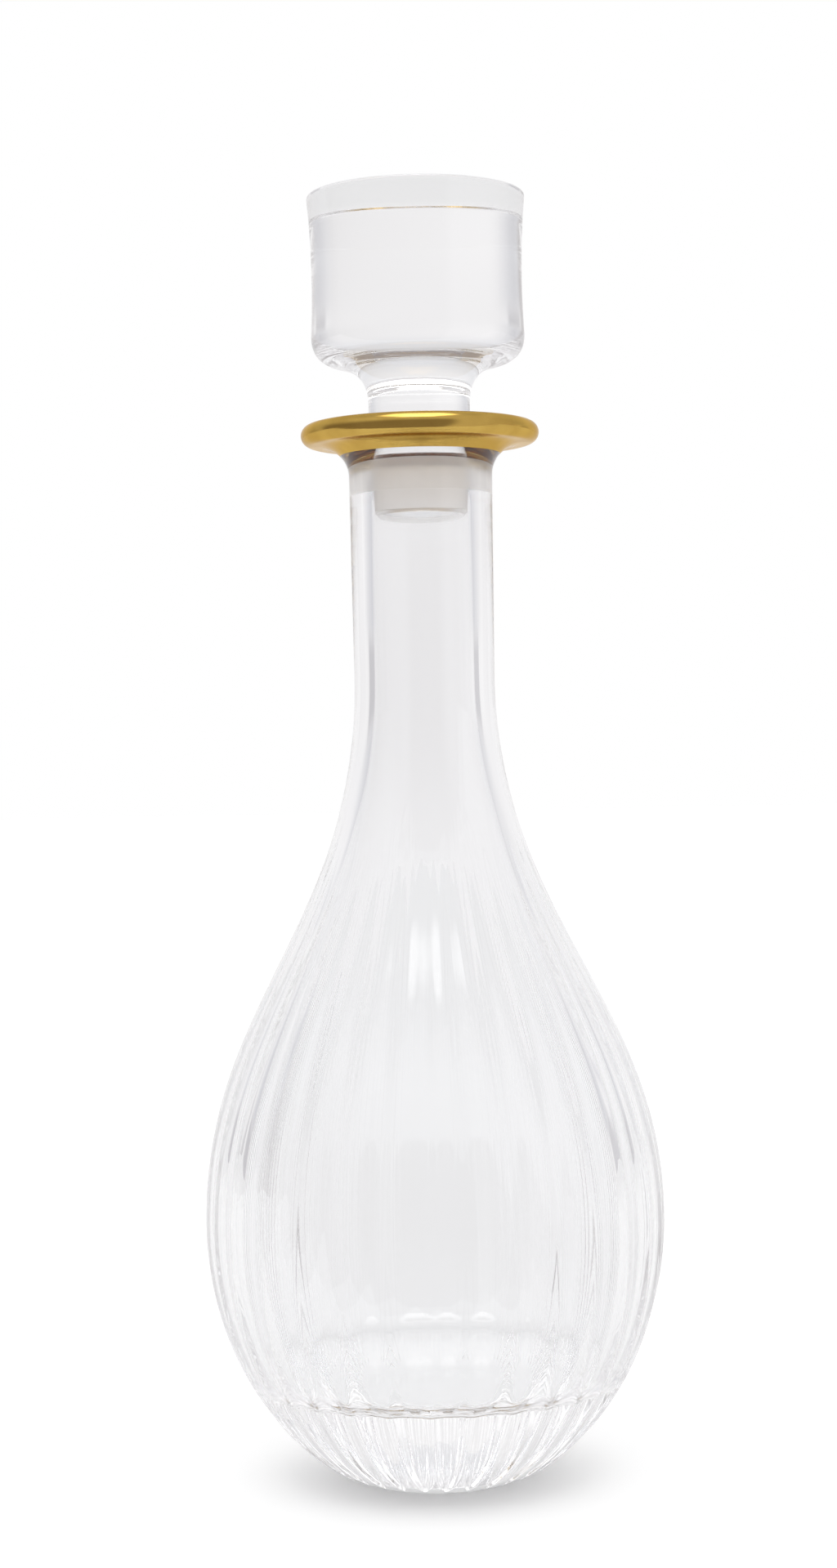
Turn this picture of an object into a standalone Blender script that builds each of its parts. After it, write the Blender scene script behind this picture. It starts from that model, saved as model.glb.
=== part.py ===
"""Clear glass decanter: a fluted teardrop vessel, its gilt rim and its solid glass stopper.

Lengths are in metres. The decanter stands on Z = 0 with its axis on Z.
Every profile is a chain of (radius, height) points that is turned about that axis.
"""

import math

import bmesh
import bpy

# Body of the vessel
BELLY_RADIUS = 0.0592
BELLY_HEIGHT = 0.0672
BELLY_WALL = 0.0042
LOW_WALL = 0.0067
BASE_THICKNESS = 0.0270
FLOOR_CORNER = 0.0050
FOOT_RADIUS = 0.0175
FOOT_EDGE = 0.0047
FOOT_BLEND_HEIGHT = 0.0040

# Shoulder and neck
SHOULDER_PULL = 0.0556
NECK_PULL = 0.0634
NECK_LENGTH = 0.0514
NECK_WALL = 0.0051
NECK_SWELL = 0.0004

# Lip, and the gold that is fired on it
LIP_TOP = 0.2715
LIP_RADIUS = 0.0306
LIP_THICKNESS = 0.0054
LIP_FILLET = 0.0080
MOUTH_ROUND = 0.0016
GILT_THICKNESS = 0.0005
GILT_MARGIN = 0.0005
GILT_REACH = math.radians(43.0)

# Ground joint between neck and plug
PLUG_RADIUS = 0.0129
PLUG_LENGTH = 0.0218
PLUG_BEVEL = 0.0008
JOINT_LENGTH = 0.0160
JOINT_TAPER = 0.05
JOINT_RELIEF = 0.00055
RELIEF_LENGTH = 0.0030

# Stopper above the lip
WAIST_HEIGHT = 0.0135
WAIST_FILLET = 0.0080
UNDERSIDE_SLOPE = 0.2
HEAD_HEIGHT = 0.0450
HEAD_LOW_RADIUS = 0.02745
HEAD_TOP_RADIUS = 0.0280
HEAD_DRAW = 0.0013
HEAD_CORNER = 0.0060
HEAD_EDGE = 0.0008

# Flutes cut down the outside of the body
FLUTE_COUNT = 32
FLUTE_DEPTH = 0.0009
FLUTE_FULL_RADIUS = 0.0450
FLUTE_NECK_GAP = 0.0267
FLUTE_FADE = 0.0700
FLUTE_END = 0.0030
FLUTE_SCOOP = 0.0110

# Space kept between two touching pieces
GAP = 0.0003

# Facets: three to a flute round the vessel, and so many along each curve
VESSEL_STEPS = 3 * FLUTE_COUNT
STOPPER_STEPS = 56
EDGE_STEPS = 2
FOOT_STEPS = 3
EGG_STEPS = 8
SHOULDER_STEPS = 10
FILLET_STEPS = 3
TIP_STEPS = 6
HOLLOW_SHOULDER_STEPS = 7
HOLLOW_EGG_STEPS = 4
FLOOR_CORNER_STEPS = 4
SIDE_STEPS = 5
CORNER_STEPS = 5
WAIST_STEPS = 6
SHARP_ANGLE = math.radians(35.0)

# Points closer than this are one point
WELD = 1e-6


def bezier(points, steps):
    """Points after the first on a Bezier curve, found by dividing the lines of its hull."""
    chain = []
    for step in range(1, steps + 1):
        t = step / steps
        hull = list(points)
        while len(hull) > 1:
            hull = [
                (a[0] + (b[0] - a[0]) * t, a[1] + (b[1] - a[1]) * t)
                for a, b in zip(hull, hull[1:])
            ]
        chain.append(hull[0])
    return chain


def arc(centre, radius, start, end, steps):
    """Points of a round stretch from the angle start to the angle end, both included."""
    chain = []
    for step in range(steps + 1):
        angle = start + (end - start) * step / steps
        chain.append((centre[0] + radius * math.cos(angle), centre[1] + radius * math.sin(angle)))
    return chain


def clear(chain):
    """The chain without points that fall on the one before them."""
    kept = [chain[0]]
    for point in chain[1:]:
        if math.dist(point, kept[-1]) > WELD:
            kept.append(point)
    return kept


# Radii that follow from the joint: the bore takes the plug, and the neck's wall goes round the bore
JOINT_TOP = LIP_TOP - MOUTH_ROUND
JOINT_BOTTOM = JOINT_TOP - JOINT_LENGTH
PLUG_END = JOINT_TOP - PLUG_LENGTH


def plug_radius(height):
    return PLUG_RADIUS - JOINT_TAPER * (JOINT_TOP - height)


MOUTH_RADIUS = plug_radius(JOINT_TOP) + GAP
JOINT_LOW_RADIUS = plug_radius(JOINT_BOTTOM) + GAP
BORE_RADIUS = JOINT_LOW_RADIUS + JOINT_RELIEF
NECK_RADIUS = BORE_RADIUS + NECK_WALL
NECK_TOP_RADIUS = NECK_RADIUS + NECK_SWELL
GILT_INNER_RADIUS = MOUTH_RADIUS + MOUTH_ROUND + GILT_MARGIN

# Round stretches of the lip; the fillet under it is no wider than the lip stands out
TIP_RADIUS = LIP_THICKNESS / 2
TIP_CENTRE = (LIP_RADIUS - TIP_RADIUS, LIP_TOP - TIP_RADIUS)
LIP_UNDERSIDE = LIP_TOP - LIP_THICKNESS
FILLET_RADIUS = min(LIP_FILLET, TIP_CENTRE[0] - NECK_TOP_RADIUS)
FILLET_CENTRE = (NECK_TOP_RADIUS + FILLET_RADIUS, LIP_UNDERSIDE - FILLET_RADIUS)

# Heights that follow from the lip: the narrowest place of the neck, and the top of the flutes
NECK_LOW = FILLET_CENTRE[1] - NECK_LENGTH
FLUTE_START = NECK_LOW - FLUTE_NECK_GAP

# The egg of the body, which the foot cuts off, and that of the hollow, which the floor cuts off
EGG_CUT_RADIUS = FOOT_RADIUS + FOOT_EDGE
EGG_DEPTH = BELLY_HEIGHT / math.sqrt(1 - (EGG_CUT_RADIUS / BELLY_RADIUS) ** 2)
HOLLOW_RADIUS = BELLY_RADIUS - BELLY_WALL
HOLLOW_DEPTH = EGG_DEPTH - LOW_WALL


def egg_radius(height):
    """Radius of the body's outside between the foot and the belly."""
    return BELLY_RADIUS * math.sqrt(1 - ((BELLY_HEIGHT - height) / EGG_DEPTH) ** 2)


def foot_chain():
    """The flat foot and the soft edge that leads into the egg."""
    egg_start = (egg_radius(FOOT_BLEND_HEIGHT), FOOT_BLEND_HEIGHT)
    edge = bezier([(FOOT_RADIUS, 0.0), (EGG_CUT_RADIUS, 0.0), egg_start], FOOT_STEPS)
    return [(0.0, 0.0), (FOOT_RADIUS, 0.0)] + edge


def egg_chain():
    """The lower half of the body, from the foot's edge up to the belly."""
    start = math.asin((BELLY_HEIGHT - FOOT_BLEND_HEIGHT) / EGG_DEPTH)
    chain = []
    for step in range(1, EGG_STEPS + 1):
        angle = start * (1 - step / EGG_STEPS)
        chain.append((BELLY_RADIUS * math.cos(angle), BELLY_HEIGHT - EGG_DEPTH * math.sin(angle)))
    return chain


def shoulder_chain(belly, neck, steps):
    """The long S from the belly to the narrowest place of the neck, in the given radii."""
    hull = [
        (belly, BELLY_HEIGHT),
        (belly, BELLY_HEIGHT + SHOULDER_PULL),
        (neck, NECK_LOW - NECK_PULL),
        (neck, NECK_LOW),
    ]
    return bezier(hull, steps)


def gilt_chain(inset, trim):
    """The lip's outline under the gold, from the neck round the tip to the top.

    inset moves it into the glass, and trim shortens it at both ends.
    """
    start = math.pi - GILT_REACH - trim / FILLET_RADIUS
    chain = arc(FILLET_CENTRE, FILLET_RADIUS + inset, start, math.pi / 2, FILLET_STEPS)
    chain += arc(TIP_CENTRE, TIP_RADIUS - inset, -math.pi / 2, math.pi / 2, TIP_STEPS)
    chain.append((GILT_INNER_RADIUS + trim, LIP_TOP - inset))
    return clear(chain)


def outer_chain():
    """The vessel's outside, from the middle of the foot to the rounded mouth."""
    chain = foot_chain() + egg_chain()
    chain += shoulder_chain(BELLY_RADIUS, NECK_RADIUS, SHOULDER_STEPS)
    chain += arc(FILLET_CENTRE, FILLET_RADIUS, math.pi, math.pi - GILT_REACH, FILLET_STEPS)
    chain += gilt_chain(GILT_THICKNESS + GAP, 0.0)
    chain.append((GILT_INNER_RADIUS, LIP_TOP))
    mouth_centre = (MOUTH_RADIUS + MOUTH_ROUND, JOINT_TOP)
    chain += arc(mouth_centre, MOUTH_ROUND, math.pi / 2, math.pi, EDGE_STEPS)
    return clear(chain)


def hollow_floor_chain(egg_steps, corner_steps):
    """The hollow below the belly: the side of its egg, a round corner and the flat floor."""
    corner_angle = math.asin((BELLY_HEIGHT - BASE_THICKNESS) / HOLLOW_DEPTH)
    end = corner_angle - FLOOR_CORNER / HOLLOW_DEPTH
    chain = []
    for step in range(1, egg_steps + 1):
        angle = end * step / egg_steps
        radius = HOLLOW_RADIUS * math.cos(angle)
        chain.append((radius, BELLY_HEIGHT - HOLLOW_DEPTH * math.sin(angle)))
    # The round corner starts along the wall, so its control point is where the wall would meet the floor
    lean = math.tan(end) * HOLLOW_RADIUS / HOLLOW_DEPTH
    radius, height = chain[-1]
    corner = (radius - lean * (height - BASE_THICKNESS), BASE_THICKNESS)
    flat_start = (corner[0] - FLOOR_CORNER, BASE_THICKNESS)
    chain += bezier([chain[-1], corner, flat_start], corner_steps)
    chain.append((0.0, BASE_THICKNESS))
    return chain


def inner_chain():
    """The hollow of the vessel, from the mouth down to the middle of the floor."""
    chain = [
        (MOUTH_RADIUS, JOINT_TOP),
        (JOINT_LOW_RADIUS, JOINT_BOTTOM),
        (BORE_RADIUS, JOINT_BOTTOM - RELIEF_LENGTH),
    ]
    shoulder = shoulder_chain(HOLLOW_RADIUS, BORE_RADIUS, HOLLOW_SHOULDER_STEPS)
    chain += reversed([(HOLLOW_RADIUS, BELLY_HEIGHT)] + shoulder)
    chain += hollow_floor_chain(HOLLOW_EGG_STEPS, FLOOR_CORNER_STEPS)
    return clear(chain)


def stopper_chain():
    """The stopper from the middle of its flat top down to the end of its plug."""
    waist_top = LIP_TOP + WAIST_HEIGHT
    top = waist_top + HEAD_HEIGHT
    corner = (HEAD_LOW_RADIUS, waist_top + UNDERSIDE_SLOPE * (HEAD_LOW_RADIUS - PLUG_RADIUS))
    side_low = (HEAD_LOW_RADIUS, corner[1] + HEAD_CORNER)
    side_middle = ((HEAD_LOW_RADIUS + HEAD_TOP_RADIUS) / 2 - HEAD_DRAW, (side_low[1] + top) / 2)
    side_top = (HEAD_TOP_RADIUS, top - HEAD_EDGE)
    underside = (HEAD_LOW_RADIUS - HEAD_CORNER, corner[1] - UNDERSIDE_SLOPE * HEAD_CORNER)
    waist_corner = (PLUG_RADIUS, waist_top)
    reach = min(WAIST_FILLET, underside[0] - PLUG_RADIUS, waist_top - JOINT_TOP)
    fillet_start = (PLUG_RADIUS + reach, waist_top + UNDERSIDE_SLOPE * reach)
    fillet_end = (PLUG_RADIUS, waist_top - reach)

    chain = [(0.0, top), (HEAD_TOP_RADIUS - HEAD_EDGE, top)]
    chain += bezier([chain[-1], (HEAD_TOP_RADIUS, top), side_top], EDGE_STEPS)
    chain += bezier([side_top, side_middle, side_low], SIDE_STEPS)
    chain += bezier([side_low, corner, underside], CORNER_STEPS)
    chain.append(fillet_start)
    chain += bezier([fillet_start, waist_corner, fillet_end], WAIST_STEPS)
    chain.append((PLUG_RADIUS, JOINT_TOP))
    chain.append((plug_radius(PLUG_END + PLUG_BEVEL), PLUG_END + PLUG_BEVEL))
    chain.append((plug_radius(PLUG_END) - PLUG_BEVEL, PLUG_END))
    chain.append((0.0, PLUG_END))
    return clear(chain)


def flute_depth(radius, height, angle):
    """How far a flute is cut in at this place of the body's outside.

    across is 0 in the middle of a flute and 1 on the ridge between two. Where the body is
    narrower than the full radius, the flutes are shallower in the same measure.
    """
    turns = angle * FLUTE_COUNT / (2 * math.pi)
    across = abs(2 * (turns - math.floor(turns)) - 1)
    fade = min(max((FLUTE_START - height) / FLUTE_FADE, 0.0), 1.0)
    narrow = min(radius / FLUTE_FULL_RADIUS, 1.0)
    depth = FLUTE_DEPTH * narrow * fade * fade * (3 - 2 * fade)
    below = min(max((FLUTE_END + FLUTE_SCOOP - height) / FLUTE_SCOOP, 0.0), 1.0)
    width = math.sqrt(1 - below * below)
    if width <= across:
        return 0.0
    return depth * (1 - (across / width) ** 2)


def turn(mesh, chain, steps, closed=False):
    """Turn a chain once round Z, and return the new vertices."""
    verts = [mesh.verts.new((radius, 0.0, height)) for radius, height in chain]
    pairs = list(zip(verts, verts[1:]))
    if closed:
        pairs.append((verts[-1], verts[0]))
    edges = [mesh.edges.new(pair) for pair in pairs]
    before = set(mesh.verts) - set(verts)
    bmesh.ops.spin(
        mesh, geom=verts + edges, cent=(0, 0, 0), axis=(0, 0, 1),
        angle=2 * math.pi, steps=steps, use_merge=True,
    )
    bmesh.ops.remove_doubles(mesh, verts=[v for v in mesh.verts if v not in before], dist=WELD)
    return [v for v in mesh.verts if v not in before]


def cut_flutes(verts):
    """Draw the body's outside in where the flutes run."""
    for vert in verts:
        radius = math.hypot(vert.co.x, vert.co.y)
        if radius < WELD:
            continue
        angle = math.atan2(vert.co.y, vert.co.x)
        scale = 1 - flute_depth(radius, vert.co.z, angle) / radius
        vert.co.x *= scale
        vert.co.y *= scale


def make_material(name, colour, roughness, metallic, transmission=0.0):
    material = bpy.data.materials.new(name)
    material.use_nodes = True
    shader = material.node_tree.nodes["Principled BSDF"]
    shader.inputs["Base Color"].default_value = (*colour, 1.0)
    shader.inputs["Roughness"].default_value = roughness
    shader.inputs["Metallic"].default_value = metallic
    shader.inputs["Transmission Weight"].default_value = transmission
    return material


def make_piece(name, mesh, material, parent):
    """Close a turned mesh, shade it and put it in the scene under its parent."""
    bmesh.ops.remove_doubles(mesh, verts=mesh.verts, dist=WELD)
    bmesh.ops.recalc_face_normals(mesh, faces=mesh.faces)
    data = bpy.data.meshes.new(name)
    mesh.to_mesh(data)
    mesh.free()
    data.materials.append(material)
    data.shade_smooth()
    data.set_sharp_from_angle(angle=SHARP_ANGLE)
    piece = bpy.data.objects.new(name, data)
    piece.parent = parent
    bpy.context.scene.collection.objects.link(piece)
    return piece


def make_vessel(parent):
    mesh = bmesh.new()
    cut_flutes(turn(mesh, outer_chain(), VESSEL_STEPS))
    turn(mesh, inner_chain(), VESSEL_STEPS)
    glass = make_material("crystal", (0.93, 0.94, 0.96), 0.02, 0.0, 1.0)
    return make_piece("vessel", mesh, glass, parent)


def make_gilt_rim(parent):
    mesh = bmesh.new()
    shell = gilt_chain(0.0, GAP) + list(reversed(gilt_chain(GILT_THICKNESS, GAP)))
    turn(mesh, shell, VESSEL_STEPS, closed=True)
    gold = make_material("fired_gold", (0.65, 0.44, 0.12), 0.16, 1.0)
    return make_piece("gilt_rim", mesh, gold, parent)


def make_stopper(parent):
    mesh = bmesh.new()
    turn(mesh, stopper_chain(), STOPPER_STEPS)
    glass = make_material("stopper_crystal", (0.92, 0.93, 0.96), 0.02, 0.0, 1.0)
    return make_piece("stopper", mesh, glass, parent)


def make_decanter():
    for old in list(bpy.data.objects):
        bpy.data.objects.remove(old, do_unlink=True)
    stand = bpy.data.objects.new("decanter", None)
    bpy.context.scene.collection.objects.link(stand)
    make_vessel(stand)
    make_gilt_rim(stand)
    make_stopper(stand)


make_decanter()
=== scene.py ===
# %% [markdown]
# # A clear glass decanter with a gilt lip
# The decanter is three pieces: a vessel of clear crystal with flutes cut down its body, a film of
# gold that is fired on its lip, and a solid glass stopper that is ground to fit the neck. All
# three are round, so each is drawn as one line from the axis outwards and back, and that line is
# spun about Z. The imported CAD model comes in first. It fixes where the pieces are, and the finer
# pieces made here replace its solids one for one.

import math

import bpy
from mathutils import Matrix, Vector


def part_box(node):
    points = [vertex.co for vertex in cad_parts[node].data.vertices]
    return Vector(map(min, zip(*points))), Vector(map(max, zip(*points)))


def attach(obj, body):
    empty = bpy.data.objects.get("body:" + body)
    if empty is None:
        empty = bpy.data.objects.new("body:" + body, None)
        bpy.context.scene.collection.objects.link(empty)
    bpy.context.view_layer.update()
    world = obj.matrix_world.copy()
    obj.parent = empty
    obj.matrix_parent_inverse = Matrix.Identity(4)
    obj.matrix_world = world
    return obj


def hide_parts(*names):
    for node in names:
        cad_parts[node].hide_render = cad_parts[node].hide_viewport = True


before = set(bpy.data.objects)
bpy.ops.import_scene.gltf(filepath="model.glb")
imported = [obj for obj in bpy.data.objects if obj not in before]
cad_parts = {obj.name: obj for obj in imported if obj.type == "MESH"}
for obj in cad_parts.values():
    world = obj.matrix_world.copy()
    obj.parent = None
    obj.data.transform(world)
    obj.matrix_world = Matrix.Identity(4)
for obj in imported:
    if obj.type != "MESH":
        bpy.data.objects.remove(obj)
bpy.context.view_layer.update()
MM = 1000
for name in sorted(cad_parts):
    low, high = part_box(name)
    size = [round(MM * (b - a), 1) for a, b in zip(low, high)]
    print(f"{name}: {size} mm, from z {MM * low.z:.1f} to {MM * high.z:.1f} mm")

# %% [markdown]
# ## The camera
# The picture was taken from about two thirds of a metre, a little above the middle of the
# decanter and pitched down by one degree. The camera was also tilted sideways by about a degree,
# so the axis leans to the left. A camera could be turned by three angles, but it is easier to
# build its three axes: where it looks, and which way is up after the tilt. The render is a
# portrait, so the lens is worked out from the long side of the sensor.

# %% Camera
IMAGE_HEIGHT = 1919
FOCAL_PIXELS = 3223
SENSOR = 36.0
CAMERA_DISTANCE = 0.680
CAMERA_HEIGHT = 0.1914
CAMERA_TURN = math.radians(2.4)
CAMERA_PITCH = math.radians(-1.06)
CAMERA_ROLL = math.radians(1.13)
AXIS_OFFSET = math.radians(0.176)
CLIP_START = 0.01
CLIP_END = 20.0


def place_camera():
    """Put the camera round the object from the front, and aim, pitch and tilt it."""
    data = bpy.data.cameras.new("camera")
    data.sensor_width = SENSOR
    data.lens = FOCAL_PIXELS * SENSOR / IMAGE_HEIGHT
    data.clip_start = CLIP_START
    data.clip_end = CLIP_END
    camera = bpy.data.objects.new("camera", data)
    bpy.context.scene.collection.objects.link(camera)
    place = Vector((math.sin(CAMERA_TURN), -math.cos(CAMERA_TURN), 0)) * CAMERA_DISTANCE
    place.z = CAMERA_HEIGHT
    heading = CAMERA_TURN + AXIS_OFFSET
    look = Vector((-math.sin(heading), math.cos(heading), math.tan(CAMERA_PITCH))).normalized()
    level_right = look.cross(Vector((0, 0, 1))).normalized()
    level_up = level_right.cross(look)
    right = level_right * math.cos(CAMERA_ROLL) - level_up * math.sin(CAMERA_ROLL)
    up = level_right * math.sin(CAMERA_ROLL) + level_up * math.cos(CAMERA_ROLL)
    turn = Matrix((right, up, -look)).transposed().to_4x4()
    camera.matrix_world = Matrix.Translation(place) @ turn
    bpy.context.scene.camera = camera
    print(f"camera at {tuple(round(x, 4) for x in place)} m, lens {data.lens:.2f} mm")


place_camera()

# %% [markdown]
# ## Lines and how they are spun
# A glass blower turns the work all the time, and so does this script: a profile is a chain of
# (radius, height) points, joined by edges, and a Screw modifier turns it once round the axis. The
# chain starts as a small plane that is merged to one point, and each further point is extruded
# from the last. Spin in edit mode makes the same surface, but is much slower with this many
# points. A curve object would do as well, but a chain keeps every point where it was worked out,
# and glass shows any dent. Round stretches come from two helpers, one for arcs and one for Bezier
# curves, the same two that the CAD source uses.

# %% Helpers for profiles
WELD = 0.000002
SEED_SIZE = 0.001
SHARP_ANGLE = math.radians(40)


def bezier(points, steps):
    """Points after the first on a Bezier curve, found by dividing the lines of its hull."""
    chain = []
    for step in range(1, steps + 1):
        t = step / steps
        hull = list(points)
        while len(hull) > 1:
            hull = [
                (a[0] + (b[0] - a[0]) * t, a[1] + (b[1] - a[1]) * t)
                for a, b in zip(hull, hull[1:])
            ]
        chain.append(hull[0])
    return chain


def arc(centre, radius, start, end, steps):
    """Points of a round stretch from the angle start to the angle end, both included."""
    chain = []
    for step in range(steps + 1):
        angle = start + (end - start) * step / steps
        chain.append((centre[0] + radius * math.cos(angle), centre[1] + radius * math.sin(angle)))
    return chain


def clear(chain):
    """The chain without points that fall on the one before them."""
    kept = [chain[0]]
    for point in chain[1:]:
        if math.dist(point, kept[-1]) > WELD:
            kept.append(point)
    return kept


# %% Draw a profile and spin it
def draw(name, chain):
    """A mesh of edges through the chain's points, in the plane of X and Z."""
    bpy.ops.object.select_all(action="DESELECT")
    radius, height = chain[0]
    bpy.ops.mesh.primitive_plane_add(size=SEED_SIZE, location=(radius, 0, height))
    piece = bpy.context.active_object
    piece.name = piece.data.name = name
    bpy.ops.object.transform_apply(location=True, rotation=True, scale=True)
    bpy.ops.object.mode_set(mode="EDIT")
    bpy.ops.mesh.select_mode(type="VERT")
    bpy.ops.mesh.select_all(action="SELECT")
    bpy.ops.mesh.merge(type="CENTER")
    for point in chain[1:]:
        move = (point[0] - radius, 0, point[1] - height)
        bpy.ops.mesh.extrude_region_move(TRANSFORM_OT_translate={"value": move})
        radius, height = point
    bpy.ops.object.mode_set(mode="OBJECT")
    return piece


def spin(piece, steps):
    """Turn the drawn line once round the axis, close the surface and smooth its shading."""
    bpy.ops.object.modifier_add(type="SCREW")
    turn = piece.modifiers[-1]
    turn.angle = 2 * math.pi
    turn.steps = turn.render_steps = steps
    turn.use_merge_vertices = True
    turn.merge_threshold = WELD
    bpy.ops.object.modifier_apply(modifier=turn.name)
    bpy.ops.object.mode_set(mode="EDIT")
    bpy.ops.mesh.select_all(action="SELECT")
    bpy.ops.mesh.remove_doubles(threshold=WELD)
    bpy.ops.mesh.normals_make_consistent(inside=False)
    bpy.ops.object.mode_set(mode="OBJECT")
    bpy.ops.object.shade_smooth_by_angle(angle=SHARP_ANGLE)
    corners = [vert.co for vert in piece.data.vertices]
    wide = 2 * max(math.hypot(corner.x, corner.y) for corner in corners)
    tall = max(corner.z for corner in corners) - min(corner.z for corner in corners)
    faces = len(piece.data.polygons)
    print(f"{piece.name}: {MM * wide:.2f} mm wide, {MM * tall:.2f} mm tall, {faces} faces")


# %% [markdown]
# ## Sizes
# These are the sizes of the real decanter, the same as in the CAD source, so that each piece here
# lies where its solid is. The neck follows from the ground joint: the plug is the size that was
# cut, the bore takes it, and the wall goes round the bore. The step counts say how finely each
# curve is drawn; they are several times those of the CAD model, because glass shows facets that
# gold or wood would hide.

# %% Sizes of the decanter
BELLY_RADIUS = 0.0592
BELLY_HEIGHT = 0.0672
BELLY_WALL = 0.0042
LOW_WALL = 0.0067
BASE_THICKNESS = 0.0270
FLOOR_CORNER = 0.0050
FOOT_RADIUS = 0.0175
FOOT_EDGE = 0.0047
FOOT_BLEND_HEIGHT = 0.0040

SHOULDER_PULL = 0.0556
NECK_PULL = 0.0634
NECK_LENGTH = 0.0514
NECK_WALL = 0.0051
NECK_SWELL = 0.0004

LIP_TOP = 0.2715
LIP_RADIUS = 0.0306
LIP_THICKNESS = 0.0054
LIP_FILLET = 0.0080
MOUTH_ROUND = 0.0016
GILT_MARGIN = 0.0005
GILT_REACH = math.radians(43.0)

PLUG_RADIUS = 0.0129
PLUG_LENGTH = 0.0218
PLUG_BEVEL = 0.0008
JOINT_LENGTH = 0.0160
JOINT_TAPER = 0.05
JOINT_RELIEF = 0.00055
RELIEF_LENGTH = 0.0030
JOINT_GAP = 0.0003

FOOT_STEPS = 6
EGG_STEPS = 26
SHOULDER_STEPS = 56
FILLET_STEPS = 10
TIP_STEPS = 24
MOUTH_STEPS = 6
HOLLOW_SHOULDER_STEPS = 38
HOLLOW_EGG_STEPS = 16
FLOOR_CORNER_STEPS = 10

JOINT_TOP = LIP_TOP - MOUTH_ROUND
JOINT_BOTTOM = JOINT_TOP - JOINT_LENGTH
PLUG_END = JOINT_TOP - PLUG_LENGTH


def plug_radius(height):
    """Radius of the ground plug, which tapers downwards from the top of the joint."""
    return PLUG_RADIUS - JOINT_TAPER * (JOINT_TOP - height)


MOUTH_RADIUS = plug_radius(JOINT_TOP) + JOINT_GAP
JOINT_LOW_RADIUS = plug_radius(JOINT_BOTTOM) + JOINT_GAP
BORE_RADIUS = JOINT_LOW_RADIUS + JOINT_RELIEF
NECK_RADIUS = BORE_RADIUS + NECK_WALL
NECK_TOP_RADIUS = NECK_RADIUS + NECK_SWELL
GILT_INNER_RADIUS = MOUTH_RADIUS + MOUTH_ROUND + GILT_MARGIN
TIP_RADIUS = LIP_THICKNESS / 2
TIP_CENTRE = (LIP_RADIUS - TIP_RADIUS, LIP_TOP - TIP_RADIUS)
LIP_UNDERSIDE = LIP_TOP - LIP_THICKNESS
FILLET_CENTRE = (NECK_TOP_RADIUS + LIP_FILLET, LIP_UNDERSIDE - LIP_FILLET)
NECK_LOW = FILLET_CENTRE[1] - NECK_LENGTH
print(f"bore {2 * MM * BORE_RADIUS:.1f} mm, neck {2 * MM * NECK_RADIUS:.1f} mm across")

# %% [markdown]
# ## The vessel
# The real vessel is blown into a mould and then cut and polished. Outside, it is an egg that
# stands on a small flat foot, drawn out into a shoulder and a neck; the lip is a thick round
# ring. Inside, the hollow has a wide flat floor with a round corner, 27 mm above the foot, so the
# base is solid glass, and this block makes most of the sparkle low in the body. Outside and
# inside are drawn as one line, over the mouth and down again, so that the spun surface is closed
# and the renderer knows where glass is and where air is. The rings are closer together near the
# foot, where the flutes will end.

# %% The vessel's outside
SCOOP_TOP = 0.0180
SCOOP_RINGS = 26
EGG_CUT_RADIUS = FOOT_RADIUS + FOOT_EDGE
EGG_DEPTH = BELLY_HEIGHT / math.sqrt(1 - (EGG_CUT_RADIUS / BELLY_RADIUS) ** 2)


def egg_radius(height):
    """Radius of the body's outside between the foot and the belly."""
    return BELLY_RADIUS * math.sqrt(1 - ((BELLY_HEIGHT - height) / EGG_DEPTH) ** 2)


def egg_chain():
    """The flat foot, its soft edge and the lower half of the body."""
    edge_end = (egg_radius(FOOT_BLEND_HEIGHT), FOOT_BLEND_HEIGHT)
    chain = [(0.0, 0.0), (FOOT_RADIUS, 0.0)]
    chain += bezier([(FOOT_RADIUS, 0.0), (EGG_CUT_RADIUS, 0.0), edge_end], FOOT_STEPS)
    start = math.asin((BELLY_HEIGHT - FOOT_BLEND_HEIGHT) / EGG_DEPTH)
    fine = math.asin((BELLY_HEIGHT - SCOOP_TOP) / EGG_DEPTH)
    angles = [start + (fine - start) * step / SCOOP_RINGS for step in range(1, SCOOP_RINGS + 1)]
    angles += [fine * (1 - step / EGG_STEPS) for step in range(1, EGG_STEPS + 1)]
    for angle in angles:
        chain.append((BELLY_RADIUS * math.cos(angle), BELLY_HEIGHT - EGG_DEPTH * math.sin(angle)))
    return chain


def shoulder_chain(belly, neck, steps):
    """The long S from the belly to the narrowest place of the neck, in the given radii."""
    hull = [
        (belly, BELLY_HEIGHT),
        (belly, BELLY_HEIGHT + SHOULDER_PULL),
        (neck, NECK_LOW - NECK_PULL),
        (neck, NECK_LOW),
    ]
    return bezier(hull, steps)


def gilt_chain(outset):
    """The gilded part of the lip, from the fillet under it round the tip to the top."""
    start = math.pi - GILT_REACH
    chain = arc(FILLET_CENTRE, LIP_FILLET - outset, start, math.pi / 2, FILLET_STEPS)
    chain += arc(TIP_CENTRE, TIP_RADIUS + outset, -math.pi / 2, math.pi / 2, TIP_STEPS)
    chain.append((GILT_INNER_RADIUS, LIP_TOP + outset))
    return clear(chain)


def outer_chain():
    """The vessel's outside, from the middle of the foot to the rounded mouth."""
    chain = egg_chain() + shoulder_chain(BELLY_RADIUS, NECK_RADIUS, SHOULDER_STEPS)
    chain += arc(FILLET_CENTRE, LIP_FILLET, math.pi, math.pi - GILT_REACH, FILLET_STEPS)
    chain += gilt_chain(0.0)
    mouth_centre = (MOUTH_RADIUS + MOUTH_ROUND, JOINT_TOP)
    chain += arc(mouth_centre, MOUTH_ROUND, math.pi / 2, math.pi, MOUTH_STEPS)
    return clear(chain)


# %% The hollow
HOLLOW_RADIUS = BELLY_RADIUS - BELLY_WALL
HOLLOW_DEPTH = EGG_DEPTH - LOW_WALL


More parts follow.
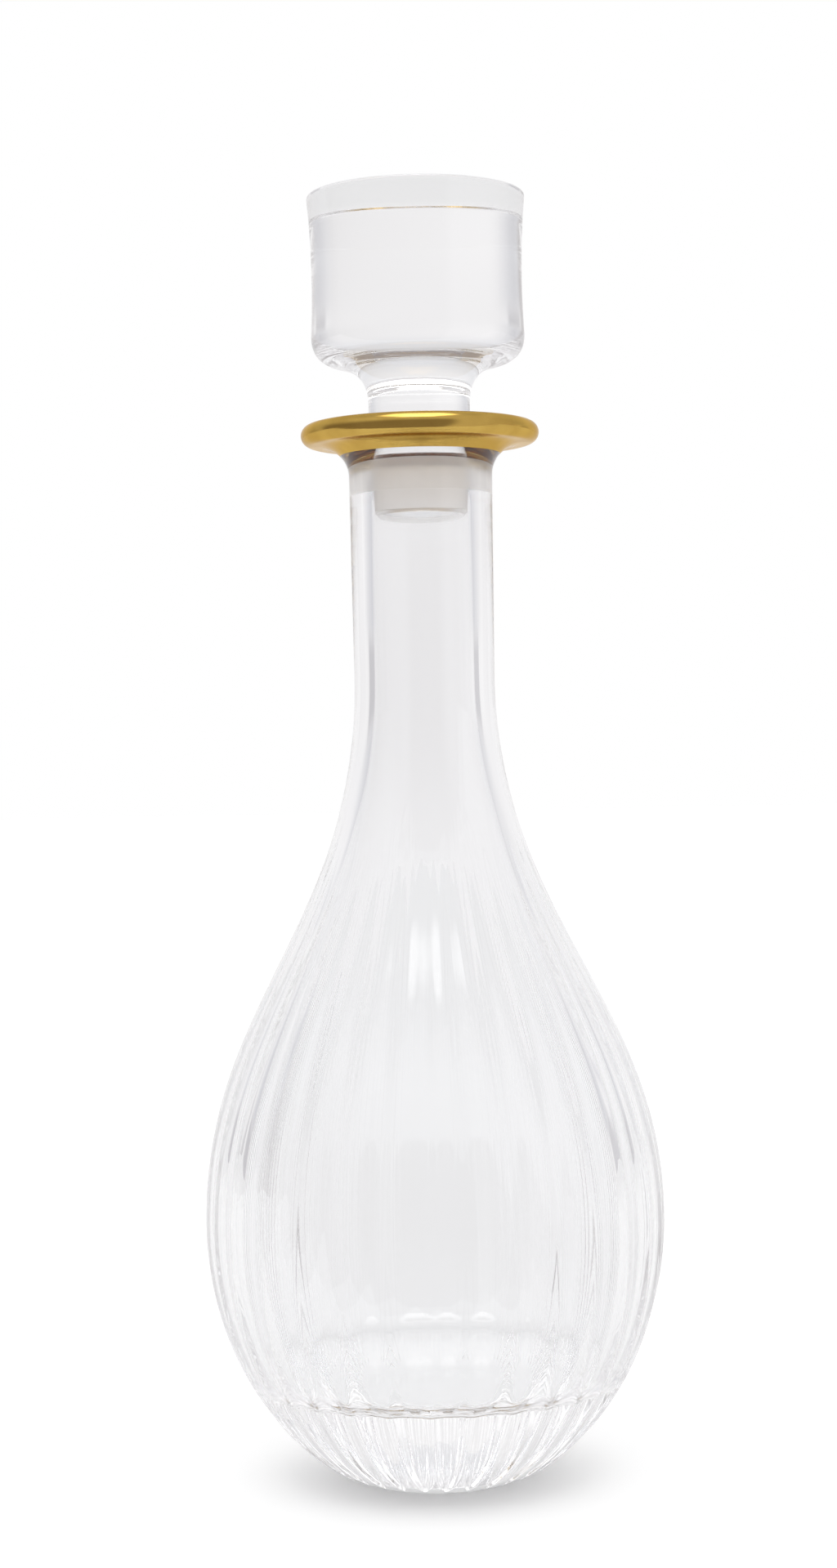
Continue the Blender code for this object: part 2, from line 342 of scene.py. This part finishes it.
def floor_chain():
    """The hollow below the belly: the side of its egg, a round corner and the flat floor."""
    corner_angle = math.asin((BELLY_HEIGHT - BASE_THICKNESS) / HOLLOW_DEPTH)
    end = corner_angle - FLOOR_CORNER / HOLLOW_DEPTH
    chain = []
    for step in range(1, HOLLOW_EGG_STEPS + 1):
        angle = end * step / HOLLOW_EGG_STEPS
        radius = HOLLOW_RADIUS * math.cos(angle)
        chain.append((radius, BELLY_HEIGHT - HOLLOW_DEPTH * math.sin(angle)))
    # The corner starts along the wall, so its control point is where wall and floor would meet
    lean = math.tan(end) * HOLLOW_RADIUS / HOLLOW_DEPTH
    radius, height = chain[-1]
    corner = (radius - lean * (height - BASE_THICKNESS), BASE_THICKNESS)
    flat_start = (corner[0] - FLOOR_CORNER, BASE_THICKNESS)
    chain += bezier([chain[-1], corner, flat_start], FLOOR_CORNER_STEPS)
    chain.append((0.0, BASE_THICKNESS))
    return chain


def inner_chain():
    """From the mouth down through the joint, the neck and the shoulder to the floor."""
    chain = [
        (MOUTH_RADIUS, JOINT_TOP),
        (JOINT_LOW_RADIUS, JOINT_BOTTOM),
        (BORE_RADIUS, JOINT_BOTTOM - RELIEF_LENGTH),
    ]
    shoulder = shoulder_chain(HOLLOW_RADIUS, BORE_RADIUS, HOLLOW_SHOULDER_STEPS)
    chain += reversed([(HOLLOW_RADIUS, BELLY_HEIGHT)] + shoulder)
    chain += floor_chain()
    return clear(chain)


FLUTE_COUNT = 32
COLUMNS_PER_FLUTE = 12
vessel = draw("vessel_crystal", outer_chain() + inner_chain()[1:])
spin(vessel, FLUTE_COUNT * COLUMNS_PER_FLUTE)

# %% [markdown]
# ## The flutes
# Thirty-two shallow hollows run from the shoulder down the body and end in small rounded scoops
# above the foot. A cutter makes them with a round wheel. Here they are cut with Displace: a
# vertex group says how deep each point is to go, from nothing on a ridge to the full depth in the
# middle of a flute, and the modifier pushes the points in along their normals by that share. The
# weights come from two questions about a point, how far across its flute it is and how high up it
# is. Polishing softens the ridges of real glass, so a flute is a parabola whose last part bends
# back level.

# %% Cut the flutes
FLUTE_DEPTH = 0.0009
FLUTE_FULL_RADIUS = 0.0450
FLUTE_NECK_GAP = 0.0267
FLUTE_FADE = 0.0700
FLUTE_END = 0.0030
FLUTE_SCOOP = 0.0110
RIDGE_START = 0.68
FLUTE_START = NECK_LOW - FLUTE_NECK_GAP


def hollow_share(across):
    """Depth across a flute, 1 in the middle and 0 on the softened ridge at across = 1."""
    if across <= RIDGE_START:
        return (RIDGE_START - across * across) / RIDGE_START
    return (1 - across) ** 2 / (1 - RIDGE_START)


def flute_share(point):
    """How deep a flute is at this place of the vessel's outside, from 0 to 1."""
    turns = math.atan2(point.y, point.x) * FLUTE_COUNT / (2 * math.pi)
    across = abs(2 * (turns - math.floor(turns)) - 1)
    below = min(max((FLUTE_END + FLUTE_SCOOP - point.z) / FLUTE_SCOOP, 0.0), 1.0)
    width = math.sqrt(1 - below * below)
    if across >= width:
        return 0.0
    fade = min(max((FLUTE_START - point.z) / FLUTE_FADE, 0.0), 1.0)
    narrow = min(math.hypot(point.x, point.y) / FLUTE_FULL_RADIUS, 1.0)
    return narrow * fade * fade * (3 - 2 * fade) * hollow_share(across / width)


def cut_flutes(piece):
    """Push the points of the piece's outside in along their normals, each by its own share."""
    bpy.ops.object.select_all(action="DESELECT")
    piece.select_set(True)
    bpy.context.view_layer.objects.active = piece
    group = piece.vertex_groups.new(name="flutes")
    touched = 0
    for vert in piece.data.vertices:
        outward = vert.normal.x * vert.co.x + vert.normal.y * vert.co.y
        weight = flute_share(vert.co) if outward > 0 else 0.0
        if weight > 0:
            group.add([vert.index], weight, "REPLACE")
            touched += 1
    bpy.ops.object.modifier_add(type="DISPLACE")
    cut = piece.modifiers[-1]
    cut.vertex_group = group.name
    cut.mid_level = 0.0
    cut.strength = -FLUTE_DEPTH
    bpy.ops.object.modifier_apply(modifier=cut.name)
    piece.vertex_groups.clear()
    print(f"{FLUTE_COUNT} flutes up to {MM * FLUTE_DEPTH:.1f} mm deep, {touched} points moved")


cut_flutes(vessel)

# %% [markdown]
# ## The gold
# The gold is painted on the lip as a liquid and fired, which leaves a bright film a few
# thousandths of a millimetre thick. The film is too thin to model, so this shell stands a few
# hundredths of a millimetre proud of the glass and reaches a little way into it. Light that comes
# through the glass then meets the inside of the gold, as it does on the real lip.

# %% Gild the lip
FILM_PROUD = 0.00003
FILM_DEPTH = 0.0003
GILT_TURN_STEPS = 256
film = gilt_chain(FILM_PROUD) + list(reversed(gilt_chain(-FILM_DEPTH)))
gilding = draw("fired_gilding", film + film[:1])
spin(gilding, GILT_TURN_STEPS)

# %% [markdown]
# ## The stopper
# The stopper is one solid piece: a drum with a flat polished top and slightly hollow sides, a
# waist, and a plug that is ground to the same taper as the bore. Solid glass shows all its own
# edges again from the inside, so its corners need their true rounding: a small one round the top
# and a large soft one under the drum.

# %% Turn the stopper
WAIST_HEIGHT = 0.0135
WAIST_FILLET = 0.0080
UNDERSIDE_SLOPE = 0.2
HEAD_HEIGHT = 0.0450
HEAD_LOW_RADIUS = 0.02745
HEAD_TOP_RADIUS = 0.0280
HEAD_DRAW = 0.0013
HEAD_CORNER = 0.0060
HEAD_EDGE = 0.0008
GROUND_FIT = 0.0002
EDGE_STEPS = 8
SIDE_STEPS = 24
CORNER_STEPS = 20
WAIST_STEPS = 20
STOPPER_TURN_STEPS = 320


def stopper_chain():
    """From the middle of the flat top down to the end of the plug."""
    waist_top = LIP_TOP + WAIST_HEIGHT
    top = waist_top + HEAD_HEIGHT
    corner = (HEAD_LOW_RADIUS, waist_top + UNDERSIDE_SLOPE * (HEAD_LOW_RADIUS - PLUG_RADIUS))
    side_low = (HEAD_LOW_RADIUS, corner[1] + HEAD_CORNER)
    side_middle = ((HEAD_LOW_RADIUS + HEAD_TOP_RADIUS) / 2 - HEAD_DRAW, (side_low[1] + top) / 2)
    side_top = (HEAD_TOP_RADIUS, top - HEAD_EDGE)
    underside = (HEAD_LOW_RADIUS - HEAD_CORNER, corner[1] - UNDERSIDE_SLOPE * HEAD_CORNER)
    waist = PLUG_RADIUS + GROUND_FIT
    fillet_start = (waist + WAIST_FILLET, waist_top + UNDERSIDE_SLOPE * WAIST_FILLET)
    fillet_end = (waist, waist_top - WAIST_FILLET)

    chain = [(0.0, top), (HEAD_TOP_RADIUS - HEAD_EDGE, top)]
    chain += bezier([chain[-1], (HEAD_TOP_RADIUS, top), side_top], EDGE_STEPS)
    chain += bezier([side_top, side_middle, side_low], SIDE_STEPS)
    chain += bezier([side_low, corner, underside], CORNER_STEPS)
    chain.append(fillet_start)
    chain += bezier([fillet_start, (waist, waist_top), fillet_end], WAIST_STEPS)
    chain.append((waist, JOINT_TOP))
    bevel_top = PLUG_END + PLUG_BEVEL
    chain.append((plug_radius(bevel_top) + GROUND_FIT, bevel_top))
    chain.append((plug_radius(PLUG_END) + GROUND_FIT - PLUG_BEVEL, PLUG_END))
    chain.append((0.0, PLUG_END))
    return clear(chain)


stopper = draw("stopper_crystal", stopper_chain())
spin(stopper, STOPPER_TURN_STEPS)

# %% [markdown]
# ## Shader maths in Python
# A finish is a small sum of masks and noises. Written as nodes one by one, such a sum is hard to
# read, so this class holds a socket and lets Python's own signs add the Math nodes. Everything
# else comes from one method that makes any node from its type, its settings and its inputs.

# %% The socket class
class Socket:
    """An output in a node tree, with Python's operators for Math nodes."""

    def __init__(self, tree, output):
        self.tree, self.output = tree, output

    def node(self, kind, settings=None, inputs=None, output=0):
        """Add a node; settings are set before inputs, whose values are numbers or Sockets."""
        made = self.tree.nodes.new(kind)
        for key, value in (settings or {}).items():
            setattr(made, key, value)
        for key, value in (inputs or {}).items():
            if isinstance(value, Socket):
                self.tree.links.new(value.output, made.inputs[key])
            else:
                made.inputs[key].default_value = value
        return Socket(self.tree, made.outputs[output])

    def maths(self, operation, first, second=0.0):
        settings = {"operation": operation}
        return self.node("ShaderNodeMath", settings, {0: first, 1: second})

    def __add__(self, other):
        return self.maths("ADD", self, other)

    def __radd__(self, other):
        return self.maths("ADD", other, self)

    def __sub__(self, other):
        return self.maths("SUBTRACT", self, other)

    def __rsub__(self, other):
        return self.maths("SUBTRACT", other, self)

    def __mul__(self, other):
        return self.maths("MULTIPLY", self, other)

    def __rmul__(self, other):
        return self.maths("MULTIPLY", other, self)

    def root(self):
        return self.maths("SQRT", self)

    def band(self, low, high, soft):
        """1 where this value is between low and high, fading over soft at both ends."""
        return self.ramp(low - soft, low) * (1 - self.ramp(high, high + soft))

    def ramp(self, low, high):
        """0 under low, 1 over high, and smooth between."""
        inputs = {"Value": self, "From Min": low, "From Max": high}
        return self.node("ShaderNodeMapRange", {"interpolation_type": "SMOOTHSTEP"}, inputs)

    def mix(self, low, high):
        """The colour low where this value is 0, and high where it is 1."""
        # A Mix node has sockets for every type of data; its colours are inputs 6 and 7, output 2
        inputs = {"Factor": self, 6: low, 7: high}
        return self.node("ShaderNodeMix", {"data_type": "RGBA"}, inputs, 2)


def new_material(name):
    """A material with its tree cleared, as (material, tree start)."""
    material = bpy.data.materials.new(name)
    material.use_nodes = True
    material.node_tree.nodes.clear()
    return material, Socket(material.node_tree, None)


def finish_material(material, surface):
    """End the material's tree with this shader."""
    output = material.node_tree.nodes.new("ShaderNodeOutputMaterial")
    material.node_tree.links.new(surface.output, output.inputs["Surface"])


# %% [markdown]
# ## Crystal and ground glass
# Polished crystal is one material with two finishes. Where nothing was done it is clear, with a
# faint waviness from the mould that only shows in reflections. Where the joint was ground, inside
# the neck and on the plug, the surface is matt and a little warm: part of the light goes straight
# on through a rough surface, and part is spread evenly by a translucent one. Light is scattered
# to and fro between the two ground faces more often than the renderer follows it, and a faint
# glow on them stands for what is lost. Both finishes could be two materials, but a mask on height
# and radius keeps the piece whole, with no seam where one finish meets the other.

# %% Crystal
GROUND_TOP = 0.2626
GROUND_RADIUS = 0.0146
GROUND_SOFT = 0.0003
DARK = (0, 0, 0, 1)
CLEAR = (0.985, 0.988, 0.992, 1)
GROUND = (1.0, 0.98, 0.96, 1)
GROUND_GLOW = (0.11, 0.103, 0.096, 1)
FROST_SHARE = 0.35
GLASS_IOR = 1.54
GROUND_ROUGHNESS = 0.18
GRAIN_ROUGHNESS = 0.06
GRAIN_NOISE = {"Scale": 2500.0, "Detail": 3.0}
GRAIN_HEIGHT = 0.00003
WAVE_NOISE = {"Scale": 60.0, "Detail": 1.0}
WAVE_HEIGHT = 0.00002


def ground_mask(start, low, high, outer):
    """1 on the ground band between two heights and within a radius."""
    place = start.node("ShaderNodeTexCoord", output="Object")
    split = start.node("ShaderNodeSeparateXYZ", None, {0: place})
    x, y, z = (Socket(start.tree, output) for output in split.output.node.outputs)
    radius = (x * x + y * y).root()
    return z.band(low, high, GROUND_SOFT) * (1 - radius.ramp(outer, outer + GROUND_SOFT))


def make_crystal(name, low):
    """Crystal that is ground from this height up to the top of the joint."""
    material, start = new_material(name)
    ground = ground_mask(start, low, GROUND_TOP, GROUND_RADIUS)
    place = start.node("ShaderNodeTexCoord", output="Object")
    grain = start.node("ShaderNodeTexNoise", None, {"Vector": place, **GRAIN_NOISE})
    wave = start.node("ShaderNodeTexNoise", None, {"Vector": place, **WAVE_NOISE})
    height = ground * grain * GRAIN_HEIGHT + wave * WAVE_HEIGHT
    bump = start.node("ShaderNodeBump", None, {"Distance": 1.0, "Height": height})
    glass = start.node("ShaderNodeBsdfPrincipled", None, {
        "Base Color": ground.mix(CLEAR, GROUND),
        "Roughness": ground * (GROUND_ROUGHNESS + GRAIN_ROUGHNESS * grain),
        "Normal": bump,
        "IOR": GLASS_IOR,
        "Transmission Weight": 1.0,
        "Emission Color": ground.mix(DARK, GROUND_GLOW),
        "Emission Strength": 1.0,
    })
    frost = start.node("ShaderNodeBsdfTranslucent", None, {"Color": GROUND})
    parts = {0: ground * FROST_SHARE, 1: glass, 2: frost}
    finish_material(material, start.node("ShaderNodeMixShader", None, parts))
    print(f"{name}: ground over {MM * (GROUND_TOP - low):.1f} mm")
    return material


vessel_glass = make_crystal("crystal with a ground bore", JOINT_BOTTOM)
stopper_glass = make_crystal("crystal with a ground plug", PLUG_END + PLUG_BEVEL)

# %% [markdown]
# ## Fired gold
# The gold is polished metal, so what it shows is the room. Its colour is a deep yellow, and stays
# warm where it is seen at a shallow angle, as on the underside of the lip. It is a little rough,
# in patches, where it was brushed on.

# %% Gold
GOLD = (0.62, 0.41, 0.10, 1)
GOLD_DEEP = (0.52, 0.33, 0.075, 1)
GOLD_EDGE = (0.88, 0.76, 0.56, 1)
GOLD_ROUGHNESS = 0.14
PATCH_ROUGHNESS = 0.06
PATCH_EDGE = (0.35, 0.65)
PATCH_NOISE = {"Scale": 90.0, "Detail": 3.0}
BRUSH_NOISE = {"Scale": 900.0, "Detail": 2.0}
BRUSH_HEIGHT = 0.000003


def make_gold():
    """Polished gold, a little deeper in colour and rougher in patches."""
    material, start = new_material("fired gold")
    place = start.node("ShaderNodeTexCoord", output="Object")
    cloud = start.node("ShaderNodeTexNoise", None, {"Vector": place, **PATCH_NOISE})
    fine = start.node("ShaderNodeTexNoise", None, {"Vector": place, **BRUSH_NOISE})
    patch = cloud.ramp(*PATCH_EDGE)
    bump = start.node("ShaderNodeBump", None, {"Distance": 1.0, "Height": fine * BRUSH_HEIGHT})
    finish_material(material, start.node("ShaderNodeBsdfPrincipled", None, {
        "Base Color": patch.mix(GOLD, GOLD_DEEP),
        "Metallic": 1.0,
        "Roughness": GOLD_ROUGHNESS + patch * PATCH_ROUGHNESS,
        "Specular Tint": GOLD_EDGE,
        "Normal": bump,
    }))
    print(f"gold: roughness {GOLD_ROUGHNESS} to {GOLD_ROUGHNESS + PATCH_ROUGHNESS:.2f}")
    return material


fired_gold = make_gold()

# %% [markdown]
# ## Dressing the pieces
# Each finished piece takes its material, and then its place among the CAD bodies: the gold rides
# on the vessel, because it is fired on, and the stopper rides on a body of its own, because it
# lifts out. Each piece stands for one CAD solid, which is then hidden, and takes that solid's
# finish.

# %% Dress the pieces
def dress(piece, material, body, node):
    """Give a finished piece its material and its place among the CAD bodies."""
    piece.data.materials.append(material)
    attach(piece, body)
    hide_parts(node)
    print(f"{piece.name} stands for {node} and rides on {body}")


dress(vessel, vessel_glass, "vessel", "vessel")
dress(gilding, fired_gold, "vessel", "gilt_rim")
dress(stopper, stopper_glass, "stopper", "stopper")

# %% [markdown]
# ## The floor
# The decanter stands on white paper that is a little overexposed, so that it cannot be told from
# the white behind it, and only a soft shadow is left near the foot. The paper is lit by the room,
# and an emission paints light on it the rest of the way to white. Away from the foot this painted
# lift is larger and the paper darker, which paints out most of the shadow and keeps it small. Seen
# through the glass the same paper is a shade greyer than white, as all of the glass in the picture
# is, so that the glass stands out against the background. There a larger painted lift hides much
# of the shadow under the base, and a painted pool of light lies close to the foot, in place of the
# light that the real base throws on it. The lift could be a lamp of its own, but a lamp would also
# light the glass and the gold.

# %% Floor
# The lifts are emission that paints light on the paper, and the glow is a painted pool of light
# near the foot
PAPER = (0.89, 0.89, 0.89, 1)
PAPER_FAR = (0.25, 0.25, 0.25, 1)
FAR_LIFT = 0.82
SHADOW_START = 0.018
SHADOW_END = 0.056
PAPER_THROUGH_GLASS = (0.42, 0.42, 0.42, 1)
PAPER_LIFT = 0.20
GLASS_LIFT = 0.49
GLASS_LIFT_FAR = 0.41
GLASS_FAR = (0.5, 1.5)
PAINTED_GLOW_LIFT = 0.22
PAINTED_GLOW_RADIUS = 0.07
PAPER_ROUGHNESS = 0.8
FLOOR_SIZE = 6.0
FLOOR_FRONT = 0.15
FLOOR_DROP = 0.0002


def make_floor():
    """White paper that ends a little in front of the decanter and runs far back behind it."""
    bpy.ops.object.select_all(action="DESELECT")
    middle = FLOOR_SIZE / 2 - FLOOR_FRONT
    bpy.ops.mesh.primitive_plane_add(size=FLOOR_SIZE, location=(0, middle, -FLOOR_DROP))
    floor = bpy.context.active_object
    floor.name = "floor"
    bpy.ops.object.transform_apply(location=True, rotation=True, scale=True)
    material, start = new_material("white paper")
    rays = start.node("ShaderNodeLightPath").output.node.outputs
    seen = Socket(start.tree, rays["Is Camera Ray"])
    through = Socket(start.tree, rays["Is Transmission Ray"])
    place = start.node("ShaderNodeTexCoord", output="Object")
    split = start.node("ShaderNodeSeparateXYZ", None, {0: place}).output.node.outputs
    x, y = Socket(start.tree, split["X"]), Socket(start.tree, split["Y"])
    distance = (x * x + y * y).root()
    # Painted light: a pool of light round the foot, seen only through the glass
    glow = 1 - distance.ramp(PAINTED_GLOW_RADIUS / 2, PAINTED_GLOW_RADIUS)
    # Painted light: away from the foot a larger emission and a darker paper paint out the shadow
    far = distance.ramp(SHADOW_START, SHADOW_END)
    paper = (seen * far).mix(PAPER, PAPER_FAR)
    lift = PAPER_LIFT + (FAR_LIFT - PAPER_LIFT) * far
    # Painted light: seen through the glass, a larger emission paints out much of the shadow
    back = GLASS_LIFT + (GLASS_LIFT_FAR - GLASS_LIFT) * distance.ramp(*GLASS_FAR)
    finish_material(material, start.node("ShaderNodeBsdfPrincipled", None, {
        "Base Color": through.mix(paper, PAPER_THROUGH_GLASS),
        "Roughness": PAPER_ROUGHNESS,
        "Specular IOR Level": 0.0,
        "Emission Color": seen * lift + through * (back + PAINTED_GLOW_LIFT * glow),
        "Emission Strength": 1.0,
    }))
    floor.data.materials.append(material)
    print(f"floor: {FLOOR_SIZE} m square, from {FLOOR_FRONT} m in front of the axis")


make_floor()

# %% [markdown]
# ## The studio
# Clear glass shows nothing but what stands round it, so the room matters more than the glass. One
# colour for every direction is enough: a pale wall behind, dimmer towards the left below and
# towards the right above, and greyer high up and at its sides; a darker camera side, whose
# reflection gives the gold its deep bands; two narrow grey flags beside the wall, which draw the
# grey lines along the sides of the body; a grey ceiling with a softbox in it; and a small lamp
# above the camera, whose reflection is the light spot on the gold and the soft patch on the
# shoulder. Lamps and cards as objects would do the same, but they would stand in the way of other
# views. The camera itself sees plain white in place of the room.

# %% Colours and edges of the studio
WHITE = (1, 1, 1, 1)
BACKDROP = (0.965, 0.955, 0.960, 1)
BACKDROP_DIM = (0.885, 0.875, 0.880, 1)
BACKDROP_HIGH = (0.79, 0.79, 0.81, 1)
SIDE_HIGH = (0.68, 0.68, 0.71, 1)
DARK_FRONT = (0.33, 0.30, 0.30, 1)
PALE_FRONT = (0.80, 0.79, 0.80, 1)
RIGHT_SIDE = (0.75, 0.73, 0.74, 1)
CEILING = (0.65, 0.64, 0.65, 1)
FLAG_LEFT = (0.60, 0.59, 0.61, 1)
FLAG_RIGHT = (0.64, 0.63, 0.65, 1)
SOFTBOX = (3.0, 3.0, 3.0, 1)
LAMP = (3.8, 3.8, 3.8, 1)

# A TURN is an azimuth and a RISE an elevation, in degrees: two numbers are where an edge starts
# and ends, three are a band's two sides and how soft they are. LAMP_TURN counts from the camera.
DIM_TURN = (-60, 60)
DIM_RISE = (-4, 16)
SIDE_HIGH_TURN = (33, 66)
SIDE_HIGH_RISE = (4, 8)
WALL_HIGH_RISE = (18, 42)
FRONT_TURN = (68, 82)
FRONT_RISE = (8, 42)
RIGHT_TURN = (80, 135, 15)
RIGHT_END_RISE = (60, 75)
CEILING_RISE = (50, 62)
FLAG_LEFT_TURN = (-68, -53, 5)
FLAG_RIGHT_TURN = (50, 62, 5)
FLAG_RISE = (-40, 4, 4)
LAMP_TURN = (-1, 20, 8)
LAMP_RISE = (52, 64, 2.7)

# The softbox lies round this direction, and its edge is where the cosine to it falls
SOFTBOX_WAY = (0.0, -0.24, 0.97)
SOFTBOX_EDGE = (0.90, 0.95)


# %% World
def make_world():
    """The studio as a colour for every direction: azimuth 0 is straight behind the decanter."""
    world = bpy.data.worlds.new("studio")
    world.use_nodes = True
    tree = world.node_tree
    tree.nodes.clear()
    start = Socket(tree, None)
    way = start.node("ShaderNodeTexCoord", output="Generated")
    split = start.node("ShaderNodeSeparateXYZ", None, {0: way})
    x, y, z = (Socket(tree, output) for output in split.output.node.outputs)
    degree = math.degrees(1)
    azimuth = x.maths("ARCTAN2", x, y) * degree
    elevation = z.maths("ARCSINE", z) * degree
    aside = azimuth.maths("ABSOLUTE", azimuth)

    front = elevation.ramp(*FRONT_RISE).mix(DARK_FRONT, PALE_FRONT)
    lean, high = azimuth.ramp(*DIM_TURN), elevation.ramp(*DIM_RISE)
    wall = (lean + high - lean * high * 2).mix(BACKDROP_DIM, BACKDROP)
    side_high = aside.ramp(*SIDE_HIGH_TURN) * elevation.ramp(*SIDE_HIGH_RISE)
    wall = side_high.mix(wall, SIDE_HIGH)
    behind = elevation.ramp(*WALL_HIGH_RISE).mix(wall, BACKDROP_HIGH)
    room = aside.ramp(*FRONT_TURN).mix(behind, front)
    right = azimuth.band(*RIGHT_TURN) * (1 - elevation.ramp(*RIGHT_END_RISE))
    room = right.mix(room, RIGHT_SIDE)
    room = elevation.ramp(*CEILING_RISE).mix(room, CEILING)
    room = (azimuth.band(*FLAG_LEFT_TURN) * elevation.band(*FLAG_RISE)).mix(room, FLAG_LEFT)
    room = (azimuth.band(*FLAG_RIGHT_TURN) * elevation.band(*FLAG_RISE)).mix(room, FLAG_RIGHT)
    above = y * SOFTBOX_WAY[1] + z * SOFTBOX_WAY[2]
    room = above.ramp(*SOFTBOX_EDGE).mix(room, SOFTBOX)
    near = (180 - aside).band(*LAMP_TURN)
    room = (near * elevation.band(*LAMP_RISE)).mix(room, LAMP)

    seen = start.node("ShaderNodeLightPath", output="Is Camera Ray")
    sky = start.node("ShaderNodeBackground", None, {"Color": seen.mix(room, WHITE)})
    output = tree.nodes.new("ShaderNodeOutputWorld")
    tree.links.new(sky.output, output.inputs["Surface"])
    bpy.context.scene.world = world
    print(f"studio: {len(tree.nodes)} nodes")


make_world()

# %% [markdown]
# ## How light is followed
# Light runs round the corner of the hollow's floor many times before it leaves. With the usual
# number of bounces the renderer gives up on it, and that corner would be a black line, so the
# number is raised. The plain Standard view shows a colour as it is written.

# %% Bounces and view
MOST_BOUNCES = 80
GLOSSY_BOUNCES = 60
bpy.context.scene.cycles.max_bounces = MOST_BOUNCES
bpy.context.scene.cycles.glossy_bounces = GLOSSY_BOUNCES
bpy.context.scene.cycles.transmission_bounces = MOST_BOUNCES
bpy.context.scene.view_settings.view_transform = "Standard"
print(f"up to {MOST_BOUNCES} bounces, {GLOSSY_BOUNCES} of them reflections")
